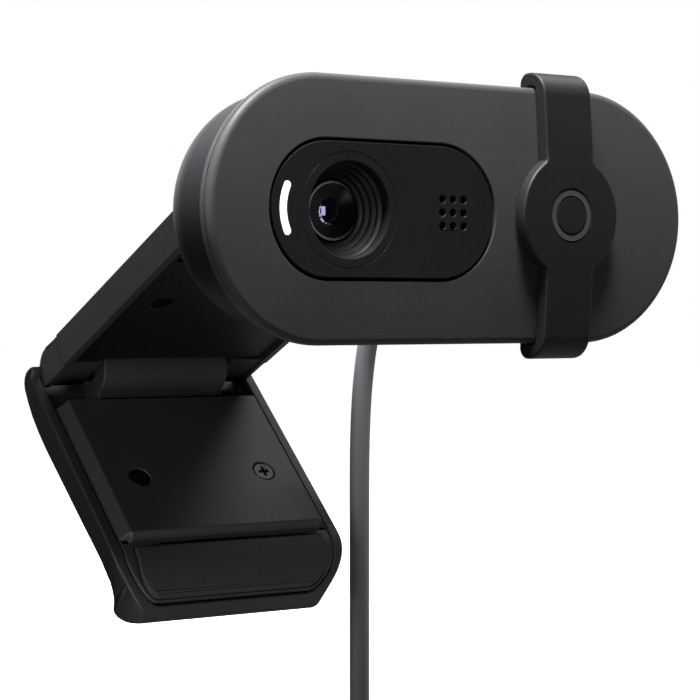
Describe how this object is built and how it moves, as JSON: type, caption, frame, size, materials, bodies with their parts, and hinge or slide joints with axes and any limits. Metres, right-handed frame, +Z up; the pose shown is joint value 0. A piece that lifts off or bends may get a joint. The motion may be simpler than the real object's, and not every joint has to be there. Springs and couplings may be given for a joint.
{
  "type": "clip-on webcam",
  "caption": "Pill-shaped webcam head with a sliding privacy cover, on a two-part folding monitor clip, with a coiled USB cord.",
  "frame": {"origin": "centre of the rubber pad's face under the clip's arm, which rests on the monitor's top edge", "axes": "+X to the right of a person facing the lens, -Y the way the lens looks, +Z up; the arm slopes down to the back"},
  "size_m": [0.0676, 0.0765, 0.1482],
  "materials": {
    "graphite_abs": "fine moulded texture, satin",
    "black_panel": "very fine moulded texture",
    "black_abs": "matte",
    "black_anodised": "black anodised",
    "coated_glass": "coated, polished",
    "filter_glass": "polished",
    "sensor": "glossy",
    "circuit_board": "solder mask",
    "chip_epoxy": "moulded",
    "gold_plate": "plated",
    "mesh_cloth": "woven",
    "led_phosphor": "clear resin",
    "light_pipe": "frosted, lit",
    "dark_shell": "fine moulded texture",
    "clip_plate": "fine moulded texture",
    "cover_abs": "fine moulded texture",
    "grey_print": "pad printed",
    "felt": "felted",
    "pad_rubber": "matte",
    "soft_pvc": "matte",
    "cord_pvc": "satin",
    "tie_strap": "hook and loop",
    "plug_pvc": "satin",
    "nickel_shell": "nickel plated",
    "nylon": "moulded",
    "wire_pvc": "extruded",
    "steel_pin": "ground",
    "zinc_screw": "zinc plated",
    "black_screw": "blackened",
    "brass_washer": "stamped"
  },
  "bodies": {
    "arm": {"arm_shell": "dark_shell", "arm_plate": "clip_plate", "arm_pad": "pad_rubber", "arm_screws": "black_screw", "lip_pad": "pad_rubber", "head_pin": "steel_pin", "head_washers": "brass_washer", "elbow_pin": "steel_pin", "elbow_washers": "brass_washer", "cord_tube": "cord_pvc", "cord_coil": "cord_pvc", "cord_tie": "tie_strap", "cord_tail": "cord_pvc", "plug_grip": "plug_pvc", "plug_shell": "nickel_shell", "plug_tongue": "nylon", "plug_contacts": "gold_plate"},
    "head": {"front_plate": "graphite_abs", "lens_panel": "black_panel", "lens_hood": "black_abs", "lens_barrel": "black_anodised", "front_lens": "coated_glass", "rear_lens": "coated_glass", "lens_holder": "black_abs", "ir_filter": "filter_glass", "image_sensor": "sensor", "main_board": "circuit_board", "board_chips": "chip_epoxy", "microphone": "gold_plate", "mic_mesh": "mesh_cloth", "led_chip": "led_phosphor", "light_pipe": "light_pipe", "panel_frame": "black_abs", "rear_shell": "dark_shell", "board_screws": "zinc_screw", "cable_socket": "nylon", "inner_wires": "wire_pvc", "strain_relief": "soft_pvc", "head_bracket": "dark_shell", "bracket_screws": "black_screw"},
    "cover": {"privacy_cover": "cover_abs", "cover_mark": "grey_print", "cover_felt": "felt"},
    "leg": {"leg_shell": "dark_shell", "leg_plate": "clip_plate", "leg_pad": "pad_rubber", "leg_screws": "black_screw"}
  },
  "joints": [
    {"name": "head_tilt", "type": "hinge", "parent": "arm", "child": "head", "pos_m": [0, -0.01204, 0.00832], "axis": [-1, 0, 0], "range_deg": [-12, 45]},
    {"name": "leg_fold", "type": "hinge", "parent": "arm", "child": "leg", "pos_m": [0, 0.03616, -0.01602], "axis": [1, 0, 0], "range_deg": [-58, 108]},
    {"name": "cover_slide", "type": "slide", "parent": "head", "child": "cover", "axis": [-1, 0, 0], "range_m": [0, 0.0302]}
  ]
}
